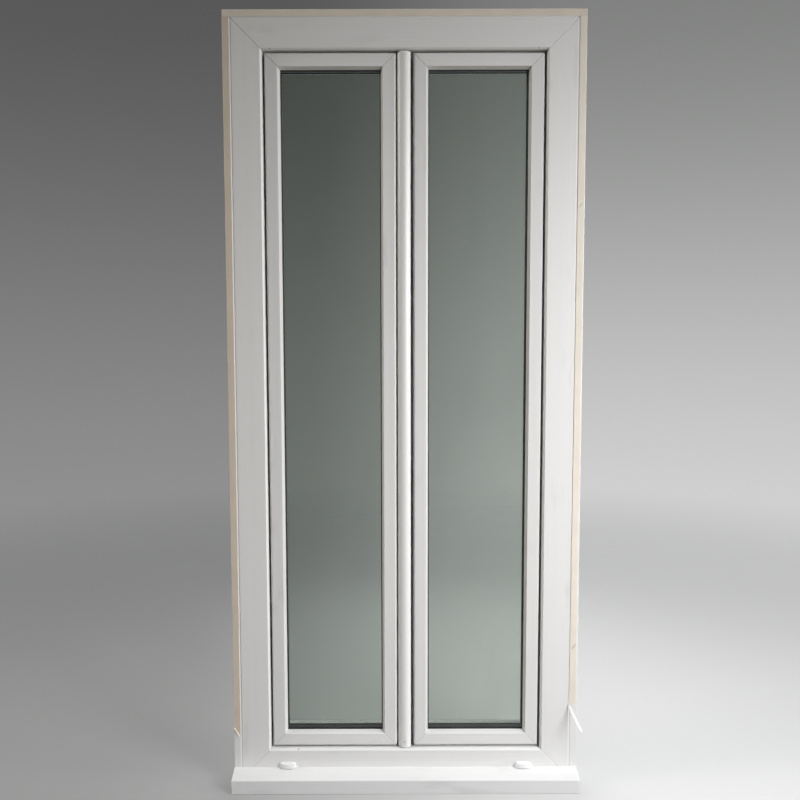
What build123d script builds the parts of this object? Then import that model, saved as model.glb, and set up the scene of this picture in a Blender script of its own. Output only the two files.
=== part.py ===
from build123d import *
import os

# A two-leaf PVC casement window with a sill, in millimetres. X runs to the right, Y to the inside
# of the building and Z up. The origin is the centre of the frame's bottom face.

# Outer frame
frame_width = 730.0
frame_height = 1608.0
frame_depth = 70.0
frame_face = 74.6
frame_bevel = 3.4
frame_bevel_depth = 8.0
frame_bevel_crown = 0.8
frame_bevel_radius = 4.0
frame_lip_depth = 37.0
frame_rebate = 8.0
face_groove_inset = 14.0
face_groove_width = 4.0
face_groove_depth = 0.8
clip_groove_width = 8.0
clip_groove_depth = 3.0
clip_groove_spacing = 40.0

# Extruded walls, corner rounding and welds
wall = 2.8
steel_room = 30.0
arris = 0.9
weld_width = 2.4
weld_depth = 0.45

# Sashes
sash_gap = 4.5
sash_recess = 8.0
sash_face = 26.0
sash_edge_bevel = 3.0
sash_edge_bevel_depth = 2.0
sash_bevel = 4.5
glazing_leg = 14.0
sash_shoulder = 6.5
sash_overlap = 10.0
flange_depth = 15.0
sash_body = 12.0
seal_depth = 3.0
seal_width = 6.0
seal_inset = 2.5
meeting_gap = 36.0

# Glazing
pane_thickness = 4.0
cavity = 16.0
pane_clearance = 4.0
gasket_depth = 3.0
gasket_bite = 8.5
gasket_show = 2.0
bead_gasket_show = 0.4
spacer_height = 8.0
spacer_inset = 5.5
bead_setback = 3.0
bead_lip = 5.0
bead_slope = 8.0

# Astragal between the sashes, fixed to the left one
astragal_round = 26.6
astragal_rise = 8.0
astragal_groove = 3.4
astragal_groove_depth = 12.0
astragal_strip_gap = 5.0
astragal_cap = 2.0
cap_bump_radius = 1.6
cap_bump_height = 1.5
cap_bump_spacing = 11.0

# Sill
sill_reach = 42.0
sill_back_height = 38.5
sill_nose_height = 30.0
sill_nose_radius = 2.0
sill_wall = 2.2
sill_cap = 5.0
drip_inset = 8.0
drip_width = 5.0
drip_depth = 4.0

# Drain caps
drain_inset = 114.0
drain_width = 37.0
drain_top_width = 31.0
drain_height = 11.5
drain_corner = 6.0
drain_reach = 9.5
drain_side_reach = 4.0
drain_fall = 2.5
drain_wall = 1.4
drain_lift = 0.3

# Tape along the outer margin
tape_width = 13.2
tape_thickness = 0.8
tape_margin = 0.6
left_tape_end = 108.0
left_tape_slant = 19.0
right_tape_peel = 176.0
tail_out = 21.0
tail_forward = 44.0
tail_drop = 41.0
tail_width = 8.5
tail_tip_width = 6.0
tail_tip_turn = 50.0

# Handle on the inside of the right sash
rose_width = 28.0
rose_height = 68.0
rose_depth = 11.0
rose_corner = 9.0
rose_edge = 2.5
neck_radius = 8.5
lever_reach = 42.0
lever_length = 118.0
lever_thickness = 12.0
lever_radius = 10.5
lever_tip_radius = 7.5
lever_edge = 2.5

# Hinges on the inside
hinge_radius = 8.0
hinge_height = 80.0
hinge_slit = 0.8
hinge_pin_radius = 5.0
hinge_leaf = 3.0
hinge_leaf_width = 22.0
hinge_clearance = 1.0
hinge_end_distance = 130.0

# Places across the depth, measured forward from the middle of the frame
front = frame_depth / 2
back = -frame_depth / 2
lip_back = front - frame_lip_depth
sash_front = front - sash_recess
leg_back = sash_front - glazing_leg
glass_front = leg_back - gasket_depth
cavity_front = glass_front - pane_thickness
cavity_back = cavity_front - cavity
glass_back = cavity_back - pane_thickness
bead_front = glass_back - gasket_depth
flange_front = back - seal_depth
sash_back = flange_front - flange_depth
bead_back = sash_back + bead_setback
shoulder_front = lip_back - seal_depth

# Places across the width of a member, measured inward from the frame's outer edge or the sash's front edge
lip_edge = frame_face + frame_bevel
frame_inner = lip_edge - frame_rebate
sash_inset = lip_edge + sash_gap
glass_line = sash_face + sash_bevel
flange_edge = frame_inner - sash_overlap - sash_inset
pane_inset = sash_body + pane_clearance

# The rectangle of the frame's outer edge and those of the sashes' front edges
frame_box = (-frame_width / 2, frame_width / 2, 0, frame_height)
sash_bottom = sash_inset
sash_top = frame_height - sash_inset
left_sash_box = (sash_inset - frame_width / 2, -meeting_gap / 2, sash_bottom, sash_top)
right_sash_box = (meeting_gap / 2, frame_width / 2 - sash_inset, sash_bottom, sash_top)

# Places across the middle of the window, out to the sill's nose and at the drain caps
astragal_left = -meeting_gap / 2
round_left = astragal_left + astragal_groove
round_right = round_left + astragal_round
astragal_right = meeting_gap / 2 - (sash_inset - frame_inner)
strip_right = meeting_gap / 2 + flange_edge - astragal_strip_gap
sill_nose = -front - sill_reach
drain_place = frame_width / 2 - drain_inset
drain_bottom = sill_back_height + drain_lift


def save(part, name):
    """Label a finished piece and write it under its own name."""
    part.label = name
    export_step(part, f"parts/{name}.step")


def outline(corners):
    """Closed line through (x, y, corner radius) triples."""
    points = [(x, y) for x, y, radius in corners]
    radii = [radius for x, y, radius in corners]
    with BuildLine() as line:
        FilletPolyline(*points, radius=radii, close=True)
    return line.edges()


def chamber(inner, outer, low, high):
    """Cut one rectangular chamber from the section being drawn."""
    with Locations(((inner + outer) / 2, (low + high) / 2)):
        Rectangle(outer - inner, high - low, mode=Mode.SUBTRACT)


def sides(box):
    """Start corner, end corner and inward direction of each side of an upright rectangle."""
    left, right, bottom, top = box
    lower_left = Vector(left, 0, bottom)
    lower_right = Vector(right, 0, bottom)
    upper_right = Vector(right, 0, top)
    upper_left = Vector(left, 0, top)
    return {
        "bottom": (lower_left, lower_right, Vector(0, 0, 1)),
        "right": (lower_right, upper_right, Vector(-1, 0, 0)),
        "top": (upper_right, upper_left, Vector(0, 0, -1)),
        "left": (upper_left, lower_left, Vector(1, 0, 0)),
    }


def inset(box, amount):
    """The same rectangle with each side moved inward."""
    left, right, bottom, top = box
    return (left + amount, right - amount, bottom + amount, top - amount)


def mitred_bar(section, side, overrun=0.0, seams=()):
    """Extrude a section along one side of a rectangle and cut both ends at 45 degrees.

    Each seam is a shallow weld groove on the face at the given depth, from one width to another.
    """
    start, end, inward = side
    along = (end - start).normalized()
    with BuildPart() as bar:
        first = start - along * overrun
        extrude(
            section(Plane(first, x_dir=inward, z_dir=along)),
            amount=(end - start).length + 2 * overrun,
            dir=along,
        )
        for corner, run in ((start, along), (end, -along)):
            split(bisect_by=Plane(corner, x_dir=(0, 1, 0), z_dir=run - inward), keep=Keep.TOP)
            for level, outer, inner in seams:
                groove_start = corner + (run + inward) * outer - Vector(0, level, 0)
                with BuildSketch(Plane(groove_start, x_dir=run - inward, z_dir=run + inward)):
                    with BuildLine():
                        Polyline(
                            (-weld_width / 2, 0),
                            (0, -weld_depth),
                            (weld_width / 2, 0),
                            (0, weld_depth),
                            close=True,
                        )
                    make_face()
                extrude(amount=(inner - outer) * 2**0.5, mode=Mode.SUBTRACT)
    return bar.part


def mitred_ring(section, box):
    """Four mitred bars joined into one ring."""
    with BuildPart() as ring:
        for side in sides(box).values():
            add(mitred_bar(section, side))
    return ring.part


def frame_section(plane):
    """Hollow section of the outer frame, with its rebate for the sash."""
    groove_end = face_groove_inset + face_groove_width
    bevel_run = Vector(frame_bevel, -frame_bevel_depth)
    bevel_swell = bevel_run.rotate(Axis.Z, 90).normalized() * frame_bevel_crown
    bevel_crown = Vector(frame_face, front) + bevel_run / 2 + bevel_swell
    corners = (
        (0, back, arris),
        (0, front, arris),
        (face_groove_inset, front, 0),
        (face_groove_inset + face_groove_width / 2, front - face_groove_depth, 0),
        (groove_end, front, 0),
        (frame_face, front, arris),
        (bevel_crown.X, bevel_crown.Y, frame_bevel_radius),
        (lip_edge, front - frame_bevel_depth, arris),
        (lip_edge, lip_back, arris),
        (frame_inner, lip_back, 0),
        (frame_inner, back, arris),
    )
    with BuildSketch(plane) as section:
        make_face(outline(corners))
        with GridLocations(0, clip_groove_spacing, 1, 2):
            Rectangle(2 * clip_groove_depth, clip_groove_width, mode=Mode.SUBTRACT)
        outer = clip_groove_depth + wall
        chamber(outer, frame_face - wall, steel_room / 2 + wall, front - face_groove_depth - wall)
        chamber(outer, frame_inner - wall, -steel_room / 2, steel_room / 2)
        chamber(outer, frame_inner - wall, back + wall, -steel_room / 2 - wall)
    return section.sketch


def sash_section(plane):
    """Hollow section of a sash with its glazing leg, shoulder and room-side flange."""
    corners = (
        (0, sash_front - sash_edge_bevel_depth, arris),
        (sash_edge_bevel, sash_front, arris),
        (sash_face, sash_front, arris),
        (glass_line, leg_back, arris),
        (sash_body, leg_back, 0),
        (sash_body, sash_back, arris),
        (flange_edge, sash_back, 2 * arris),
        (flange_edge, flange_front, arris),
        (-sash_shoulder, flange_front, 0),
        (-sash_shoulder, shoulder_front, arris),
        (0, shoulder_front, 0),
    )
    with BuildSketch(plane) as section:
        make_face(outline(corners))
        chamber(sash_edge_bevel, sash_face - wall, leg_back + wall, sash_front - wall)
        chamber(wall, sash_body - wall, shoulder_front + wall, leg_back - wall)
        chamber(-sash_shoulder + wall, sash_body - wall, flange_front + wall, shoulder_front - wall)
        chamber(flange_edge + wall, sash_body - wall, sash_back + wall, flange_front - wall)
    return section.sketch


def closing_section(plane):
    """Section of the left sash's meeting stile: straight edge, with no shoulder or flange."""
    corners = (
        (0, sash_front - sash_edge_bevel_depth, arris),
        (sash_edge_bevel, sash_front, arris),
        (sash_face, sash_front, arris),
        (glass_line, leg_back, arris),
        (sash_body, leg_back, 0),
        (sash_body, sash_back, arris),
        (0, sash_back, arris),
    )
    with BuildSketch(plane) as section:
        make_face(outline(corners))
        chamber(sash_edge_bevel, sash_face - wall, leg_back + wall, sash_front - wall)
        chamber(wall, sash_body - wall, shoulder_front + wall, leg_back - wall)
        chamber(wall, sash_body - wall, flange_front + wall, shoulder_front - wall)
        chamber(wall, sash_body - wall, sash_back + wall, flange_front - wall)
    return section.sketch


def bead_section(plane):
    """Section of a glazing bead, sloped from the sash down to the glass line."""
    corners = (
        (sash_body, bead_front, 0),
        (glass_line, bead_front, 0),
        (glass_line, bead_front - bead_lip, arris),
        (glass_line - bead_slope, bead_back, arris),
        (sash_body, bead_back, 0),
    )
    with BuildSketch(plane) as section:
        make_face(outline(corners))
        chamber(sash_body + wall, glass_line - bead_slope - wall, bead_back + wall, bead_front - wall)
    return section.sketch


def outer_gasket_section(plane):
    """Wedge between the glazing leg and the glass, with a lip that shows."""
    corners = (
        (glass_line - gasket_bite, glass_front, 0),
        (glass_line + gasket_show, glass_front, 0),
        (glass_line, leg_back, 0),
        (glass_line - gasket_bite, leg_back, 0),
    )
    with BuildSketch(plane) as section:
        make_face(outline(corners))
    return section.sketch


def inner_gasket_section(plane):
    """Wedge between the glass and the bead, with a lip that shows."""
    corners = (
        (glass_line - gasket_bite, bead_front, 0),
        (glass_line, bead_front, 0),
        (glass_line + bead_gasket_show, glass_back, 0),
        (glass_line - gasket_bite, glass_back, 0),
    )
    with BuildSketch(plane) as section:
        make_face(outline(corners))
    return section.sketch


def seal_section(plane):
    """Rubber strip between the sash's flange and the frame."""
    with BuildSketch(plane) as section:
        with Locations((flange_edge + seal_inset, flange_front)):
            Rectangle(seal_width, seal_depth, align=(Align.MIN, Align.MIN))
    return section.sketch


def astragal_section(plane, hollow=True):
    """Section of the astragal: half-round front, body on the left sash and a rebate for the right one."""
    spring = sash_front - sash_edge_bevel_depth
    groove_floor = spring - astragal_groove_depth
    with BuildSketch(plane) as section:
        with BuildLine():
            Polyline(
                (round_left, spring),
                (round_left, groove_floor),
                (astragal_left, groove_floor),
                (astragal_left, sash_back),
                (strip_right, sash_back),
                (strip_right, back),
                (astragal_right, back),
                (astragal_right, lip_back),
                (round_right, lip_back),
                (round_right, spring),
            )
            SagittaArc((round_right, spring), (round_left, spring), -astragal_rise)
        make_face()
        if hollow:
            chamber(astragal_left + wall, astragal_right - wall, back + wall, lip_back - wall)
            chamber(round_left + wall, round_right - wall, lip_back + wall, spring - wall)
    return section.sketch


def sill_top(depth):
    """Height of the sill's sloped top at a depth."""
    return sill_nose_height + (sill_back_height - sill_nose_height) * (depth - sill_nose) / sill_reach


def sloped_chamber(first, last, floor):
    """Cut one sill chamber, a wall below the sloped top."""
    ceiling_first = sill_top(first) - sill_wall
    ceiling_last = sill_top(last) - sill_wall
    with BuildLine() as line:
        Polyline((first, floor), (last, floor), (last, ceiling_last), (first, ceiling_first), close=True)
    make_face(line.edges(), mode=Mode.SUBTRACT)


def sill_section(plane, hollow=True):
    """Section of the sill: sloped top, upright nose and a drip groove below."""
    drip_start = sill_nose + drip_inset
    drip_end = drip_start + drip_width
    corners = (
        (-front, 0, 0),
        (-front, sill_back_height, 0),
        (sill_nose, sill_nose_height, sill_nose_radius),
        (sill_nose, 0, sill_nose_radius / 2),
    )
    with BuildSketch(plane) as section:
        make_face(outline(corners))
        chamber(drip_start, drip_end, -drip_depth, drip_depth)
        if hollow:
            sloped_chamber(sill_nose + sill_wall, drip_end, drip_depth + sill_wall)
            sloped_chamber(drip_end + sill_wall, -front - sill_wall, sill_wall)
    return section.sketch


def drain_hood(place, shrink):
    """Drain cap's outer form, bowed in plan with a falling top, or its hollow when shrunk by the wall."""
    half = drain_width / 2 - shrink
    top_half = drain_top_width / 2 - shrink
    top = drain_bottom + drain_height - shrink
    side_end = -front - drain_side_reach + shrink
    middle_end = -front - drain_reach + shrink
    corners = (
        (place - half, drain_bottom, 0),
        (place + half, drain_bottom, 0),
        (place + top_half, top, drain_corner - shrink),
        (place - top_half, top, drain_corner - shrink),
    )
    falling_top = Plane((place, -front, top), x_dir=(1, 0, 0), z_dir=(0, -drain_fall, drain_reach))
    with BuildPart() as hood:
        with BuildSketch(Plane.XZ.offset(front)):
            make_face(outline(corners))
        extrude(amount=drain_reach)
        with BuildSketch(Plane.XY.offset(drain_bottom)):
            with BuildLine():
                Polyline(
                    (place - half, side_end),
                    (place - half, -front),
                    (place + half, -front),
                    (place + half, side_end),
                )
                ThreePointArc((place - half, side_end), (place, middle_end), (place + half, side_end))
            make_face()
        extrude(amount=drain_height, mode=Mode.INTERSECT)
        split(bisect_by=falling_top, keep=Keep.BOTTOM)
    return hood.part


def tape_strip(points):
    """A flat strip of tape on the frame's face, through points across and up the face."""
    with BuildPart() as strip:
        with BuildSketch(Plane.XZ.offset(front)):
            with BuildLine():
                Polyline(*points, close=True)
            make_face()
        extrude(amount=tape_thickness)
    return strip.part


def hinge(side, height):
    """Lift-off hinge: frame knuckle below, sash knuckle above, on one pin. Side is -1 left, 1 right."""
    axis_x = side * (frame_width / 2 - sash_inset - flange_edge + hinge_clearance + hinge_radius)
    axis_y = -sash_back + hinge_leaf - hinge_radius
    half = (hinge_height - hinge_slit) / 2
    toward_sash = (Align.MAX, Align.MIN) if side > 0 else (Align.MIN, Align.MIN)
    toward_frame = (Align.MIN, Align.MIN) if side > 0 else (Align.MAX, Align.MIN)
    with BuildPart() as body:
        with BuildSketch(Plane.XY.offset(height)):
            with Locations((axis_x, axis_y)):
                Circle(hinge_radius)
            with Locations((axis_x, -back)):
                Rectangle(hinge_radius, axis_y + back, align=toward_frame)
                Rectangle(hinge_radius + hinge_leaf_width, hinge_leaf, align=toward_frame)
        extrude(amount=half)
        with BuildSketch(Plane.XY.offset(height + half)):
            with Locations((axis_x, axis_y)):
                Circle(hinge_pin_radius)
        extrude(amount=hinge_slit)
        with BuildSketch(Plane.XY.offset(height + half + hinge_slit)):
            with Locations((axis_x, axis_y)):
                Circle(hinge_radius)
            with Locations((axis_x, -sash_back)):
                Rectangle(hinge_radius + hinge_leaf_width, hinge_leaf, align=toward_sash)
        extrude(amount=half)
    return body.part


os.makedirs("parts", exist_ok=True)

# Outer frame, welded at the mitres
frame_seams = ((front, 0, frame_face), (back, 0, frame_inner))
frame_names = {
    "bottom": "frame_bottom_rail",
    "right": "frame_right_jamb",
    "top": "frame_head",
    "left": "frame_left_jamb",
}
for place, name in frame_names.items():
    save(mitred_bar(frame_section, sides(frame_box)[place], seams=frame_seams), name)

# Sashes, with the left one's rails stopped at its straight meeting edge
sash_seams = ((sash_front, sash_edge_bevel, sash_face), (sash_back, flange_edge, sash_body))
meeting_edge = Plane((astragal_left, 0, 0), x_dir=(0, 1, 0), z_dir=(-1, 0, 0))
sash_names = {
    "left": {"left": "hinge_stile", "right": "meeting_stile", "top": "top_rail", "bottom": "bottom_rail"},
    "right": {"right": "hinge_stile", "left": "meeting_stile", "top": "top_rail", "bottom": "bottom_rail"},
}
for place, name in sash_names["right"].items():
    member = mitred_bar(sash_section, sides(right_sash_box)[place], -flange_edge, sash_seams)
    save(member, f"right_sash_{name}")

for place, name in sash_names["left"].items():
    section = closing_section if name == "meeting_stile" else sash_section
    with BuildPart() as member:
        add(mitred_bar(section, sides(left_sash_box)[place], -flange_edge, sash_seams))
        split(bisect_by=meeting_edge, keep=Keep.TOP)
    save(member.part, f"left_sash_{name}")

# Glass units, gaskets, beads and seals of each sash
for hand, box in (("left", left_sash_box), ("right", right_sash_box)):
    pane_left, pane_right, pane_bottom, pane_top = inset(box, pane_inset)
    pane_centre = ((pane_left + pane_right) / 2, (pane_bottom + pane_top) / 2)
    pane_size = (pane_right - pane_left, pane_top - pane_bottom)
    for layer, level in (("outer", cavity_front), ("inner", glass_back)):
        with BuildPart() as pane:
            with BuildSketch(Plane.XZ.offset(level)):
                with Locations(pane_centre):
                    Rectangle(*pane_size)
            extrude(amount=pane_thickness)
        save(pane.part, f"{hand}_{layer}_pane")

    bar_outside = [size - 2 * spacer_inset for size in pane_size]
    bar_inside = [size - 2 * spacer_height for size in bar_outside]
    with BuildPart() as spacer:
        with BuildSketch(Plane.XZ.offset(cavity_back)):
            with Locations(pane_centre):
                Rectangle(*bar_outside)
                Rectangle(*bar_inside, mode=Mode.SUBTRACT)
        extrude(amount=cavity)
    save(spacer.part, f"{hand}_spacer_bar")

    with BuildPart() as gaskets:
        add(mitred_ring(outer_gasket_section, box))
        add(mitred_ring(inner_gasket_section, box))
    save(gaskets.part, f"{hand}_glazing_gaskets")

    for place, side in sides(box).items():
        save(mitred_bar(bead_section, side), f"{hand}_bead_{place}")

    with BuildPart() as seal:
        for place, side in sides(box).items():
            if (hand, place) != ("left", "right"):
                add(mitred_bar(seal_section, side, -flange_edge))
        if hand == "left":
            split(bisect_by=meeting_edge, keep=Keep.TOP)
    save(seal.part, f"{hand}_sash_seal")

# Astragal and its end caps, each cap with a block that closes the room-side strip
with BuildPart() as astragal:
    top_end = Plane((0, 0, sash_top), x_dir=(1, 0, 0), z_dir=(0, 0, -1))
    extrude(astragal_section(top_end), amount=sash_top - sash_bottom, dir=(0, 0, -1))
save(astragal.part, "astragal")

for name, level, up in (("astragal_top_cap", sash_top, 1), ("astragal_bottom_cap", sash_bottom, -1)):
    cap_plane = Plane((0, 0, level), x_dir=(1, 0, 0), z_dir=(0, 0, -1))
    with BuildPart() as cap:
        extrude(astragal_section(cap_plane, hollow=False), amount=astragal_cap, dir=(0, 0, up))
        with BuildSketch(cap_plane):
            with Locations((astragal_left, sash_back)):
                Rectangle(strip_right - astragal_left, flange_depth, align=(Align.MIN, Align.MIN))
        extrude(amount=-flange_edge, dir=(0, 0, up))
        with BuildSketch(cap_plane):
            with Locations(((round_left + round_right) / 2, sash_front)):
                with GridLocations(cap_bump_spacing, 0, 2, 1):
                    Circle(cap_bump_radius)
        extrude(amount=astragal_cap + cap_bump_height, dir=(0, 0, up))
    save(cap.part, name)

# Sill with an end cap at each end
with BuildPart() as sill:
    sill_start = Plane.YZ.offset(sill_cap - frame_width / 2)
    extrude(sill_section(sill_start), amount=frame_width - 2 * sill_cap, dir=(1, 0, 0))
save(sill.part, "sill")

for name, start in (
    ("sill_left_end_cap", -frame_width / 2),
    ("sill_right_end_cap", frame_width / 2 - sill_cap),
):
    with BuildPart() as end_cap:
        extrude(sill_section(Plane.YZ.offset(start), hollow=False), amount=sill_cap, dir=(1, 0, 0))
    save(end_cap.part, name)

# Drain caps: bowed hoods over the drain holes, open below and at the back
for name, place in (("left_drain_cap", -drain_place), ("right_drain_cap", drain_place)):
    with BuildPart() as drain:
        add(drain_hood(place, 0))
        add(drain_hood(place, drain_wall), mode=Mode.SUBTRACT)
    save(drain.part, name)

# Tape along the head and both jambs, loose at its lower ends
tape_top = frame_height - tape_margin
tape_edge = frame_width / 2 - tape_margin
tape_inner = tape_edge - tape_width
head_tape = ((-tape_edge, tape_top - tape_width), (tape_edge, tape_top - tape_width),
             (tape_edge, tape_top), (-tape_edge, tape_top))
save(tape_strip(head_tape), "head_tape")

left_tape = ((-tape_edge, tape_top - tape_width), (-tape_edge, left_tape_end + left_tape_slant),
             (-tape_inner, left_tape_end), (-tape_inner, tape_top - tape_width))
save(tape_strip(left_tape), "left_tape")

right_tape_points = ((tape_inner, right_tape_peel), (tape_edge, right_tape_peel),
                     (tape_edge, tape_top - tape_width), (tape_inner, tape_top - tape_width))
tail_start = Vector((tape_inner + tape_edge) / 2, -front - tape_thickness / 2, right_tape_peel)
tail_end = tail_start + Vector(tail_out, -tail_forward, -tail_drop)
tail_bend = tail_start + Vector(tail_out / 4, -tail_forward / 4, -tail_drop / 2)
with BuildPart() as right_tape:
    add(tape_strip(right_tape_points))
    with BuildSketch(Plane(tail_start, x_dir=(1, 0, 0), z_dir=(0, 0, -1))):
        Rectangle(tail_width, tape_thickness)
    with BuildSketch(Plane(tail_bend, x_dir=(1, 0, 0), z_dir=tail_end - tail_start)):
        Rectangle((tail_width + tail_tip_width) / 2, tape_thickness, rotation=tail_tip_turn / 2)
    with BuildSketch(Plane(tail_end, x_dir=(1, 0, 0), z_dir=tail_end - tail_bend)):
        Rectangle(tail_tip_width, tape_thickness, rotation=tail_tip_turn)
    loft()
save(right_tape.part, "right_tape")

# Handle on the room side of the right sash's meeting stile
handle_x = meeting_gap / 2 + (flange_edge + sash_body) / 2
handle_z = (sash_bottom + sash_top) / 2
with BuildPart() as handle_rose:
    with BuildSketch(Plane.XZ.offset(sash_back)):
        with Locations((handle_x, handle_z)):
            RectangleRounded(rose_width, rose_height, rose_corner)
    extrude(amount=-rose_depth)
    chamfer(handle_rose.faces().sort_by(Axis.Y)[-1].edges(), rose_edge)
save(handle_rose.part, "handle_rose")

rose_back = sash_back - rose_depth
lever_back = rose_back - lever_reach
with BuildPart() as handle_lever:
    with BuildSketch(Plane.XZ.offset(lever_back)):
        with Locations((handle_x, handle_z)):
            Circle(lever_radius)
        with Locations((handle_x, handle_z - lever_length)):
            Circle(lever_tip_radius)
        make_hull()
    extrude(amount=lever_thickness)
    rims = handle_lever.faces().filter_by(Axis.Y).edges()
    chamfer(rims, lever_edge)
    with BuildSketch(Plane.XZ.offset(lever_back + lever_thickness)):
        with Locations((handle_x, handle_z)):
            Circle(neck_radius)
    extrude(amount=lever_reach - lever_thickness)
save(handle_lever.part, "handle_lever")

# Two hinges on each sash
for name, side in (("left_hinges", -1), ("right_hinges", 1)):
    with BuildPart() as pair:
        add(hinge(side, sash_bottom + hinge_end_distance))
        add(hinge(side, sash_top - hinge_end_distance - hinge_height))
    save(pair.part, name)
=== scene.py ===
import math
from collections import namedtuple

import bmesh
import bpy
from bpy.props import FloatProperty, FloatVectorProperty, IntProperty, PointerProperty
from mathutils import Matrix, Vector, noise


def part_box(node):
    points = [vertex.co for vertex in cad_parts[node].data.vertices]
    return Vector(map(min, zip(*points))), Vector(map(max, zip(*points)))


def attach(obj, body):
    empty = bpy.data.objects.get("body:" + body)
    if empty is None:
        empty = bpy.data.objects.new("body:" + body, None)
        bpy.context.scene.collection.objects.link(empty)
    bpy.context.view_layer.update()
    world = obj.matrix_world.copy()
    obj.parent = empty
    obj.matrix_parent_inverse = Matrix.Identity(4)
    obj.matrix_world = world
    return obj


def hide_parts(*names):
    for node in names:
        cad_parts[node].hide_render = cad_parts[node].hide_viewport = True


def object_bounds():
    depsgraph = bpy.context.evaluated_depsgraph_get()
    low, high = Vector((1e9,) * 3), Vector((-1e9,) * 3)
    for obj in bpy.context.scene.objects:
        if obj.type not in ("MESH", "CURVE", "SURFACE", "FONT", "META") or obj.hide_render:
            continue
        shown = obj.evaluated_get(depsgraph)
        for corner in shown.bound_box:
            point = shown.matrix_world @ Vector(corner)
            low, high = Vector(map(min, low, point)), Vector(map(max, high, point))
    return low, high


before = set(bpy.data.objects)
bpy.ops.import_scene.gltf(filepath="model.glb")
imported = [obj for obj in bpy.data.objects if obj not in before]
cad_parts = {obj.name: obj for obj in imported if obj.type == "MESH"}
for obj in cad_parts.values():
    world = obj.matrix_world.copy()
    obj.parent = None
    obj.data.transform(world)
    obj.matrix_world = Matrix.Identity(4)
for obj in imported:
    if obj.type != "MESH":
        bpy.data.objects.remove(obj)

bl_info = {
    "name": "PVC Window",
    "version": (1, 0, 0),
    "blender": (4, 5, 0),
    "location": "View3D > Sidebar > Window",
    "description": "Finishes, tape, fasteners and a plain stage for a two-leaf PVC window",
    "category": "Object",
}

CAD_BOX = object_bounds()
LEAVES = ("left", "right")
FRAME_RAILS = ("frame_head", "frame_bottom_rail")
TAPE_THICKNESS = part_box("head_tape")[1].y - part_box("head_tape")[0].y
OUTSIDE = Vector((0, -1, 0))
ROOM_SIDE = Vector((0, 1, 0))
BLACK = (0.0, 0.0, 0.0, 1.0)
SHARP_EDGE = math.radians(35)
Smudge = namedtuple("Smudge", "x z half_width half_height strength")


def colour_property(name, description, default):
    """A colour that the user can change."""
    return FloatVectorProperty(
        name=name, description=description, subtype="COLOR", size=3, min=0.0, max=1.0, default=default
    )


def length_property(name, description, default):
    """A length in metres that the user can change."""
    return FloatProperty(
        name=name, description=description, subtype="DISTANCE", unit="LENGTH", min=0.0, precision=5,
        default=default,
    )


def place_property(name, description, default):
    """A point in the shared frame, in metres, that the user can change."""
    return FloatVectorProperty(
        name=name, description=description, subtype="TRANSLATION", unit="LENGTH", default=default
    )


def power_property(name, description, default):
    """A lamp's power in watts that the user can change."""
    return FloatProperty(name=name, description=description, unit="POWER", min=0.0, default=default)


class WindowFinish(bpy.types.PropertyGroup):
    """Colours of the window's materials"""

    pvc: colour_property("PVC", "Extruded white of the frame and the sashes", (0.80, 0.796, 0.790))
    sill: colour_property("Sill", "Extruded white of the sill", (0.82, 0.82, 0.825))
    moulded: colour_property("Caps", "Moulded white of the end caps and drain caps", (0.83, 0.83, 0.83))
    soil: colour_property("Soil", "Dust and handling marks on the white", (0.36, 0.33, 0.27))
    glass: colour_property("Glass", "Tone of one pane", (0.735, 0.77, 0.74))
    spacer: colour_property("Spacer", "Aluminium of the spacer bars", (0.30, 0.32, 0.36))
    rubber: colour_property("Rubber", "Gaskets and seals", (0.018, 0.018, 0.015))
    tape: colour_property("Tape", "Paper tape on the frame's margin", (0.765, 0.70, 0.605))
    liner: colour_property("Liner", "Backing paper of the tape", (0.87, 0.86, 0.83))
    coating: colour_property("Coating", "Powder coat of the handle and hinges", (0.80, 0.80, 0.79))
    steel: colour_property("Steel", "Zinc-plated screws", (0.58, 0.58, 0.56))


class WindowDetail(bpy.types.PropertyGroup):
    """Sizes of the small things that the solids leave to the dressing"""

    seam_width: length_property("Weld seam", "Width of the cleaned weld line at a mitre", 0.0016)
    dust_line: length_property("Dust line", "Inset of the dust line from the frame's outer edge", 0.016)
    perforation_pitch: length_property("Perforations", "Distance between holes along a spacer bar", 0.004)
    tape_ripple: length_property("Tape ripple", "How far the tape's edge wanders", 0.0003)
    tape_step: length_property("Tape step", "Length of one stretch of tape mesh", 0.010)
    tape_peel: length_property("Tape peel", "Height at which the right strip comes loose", 0.176)
    tape_lean: length_property("Tape lean", "How far in the right strip stands at its lower end", 0.0034)
    tape_slant: length_property("Tape slant", "Rise of the left strip's lower end", 0.019)
    liner_thickness: length_property("Liner thickness", "Backing paper of the tape", 0.0004)
    screw_head: length_property("Screw head", "Diameter of a hinge screw's head", 0.0072)
    screw_rise: length_property("Screw rise", "Height of a hinge screw's head", 0.0018)
    plug_width: length_property("Fixing plug", "Diameter of the plug near the astragal's foot", 0.0046)
    round_steps: IntProperty(name="Round steps", description="Sides of a turned piece", min=12, default=40)


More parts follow.
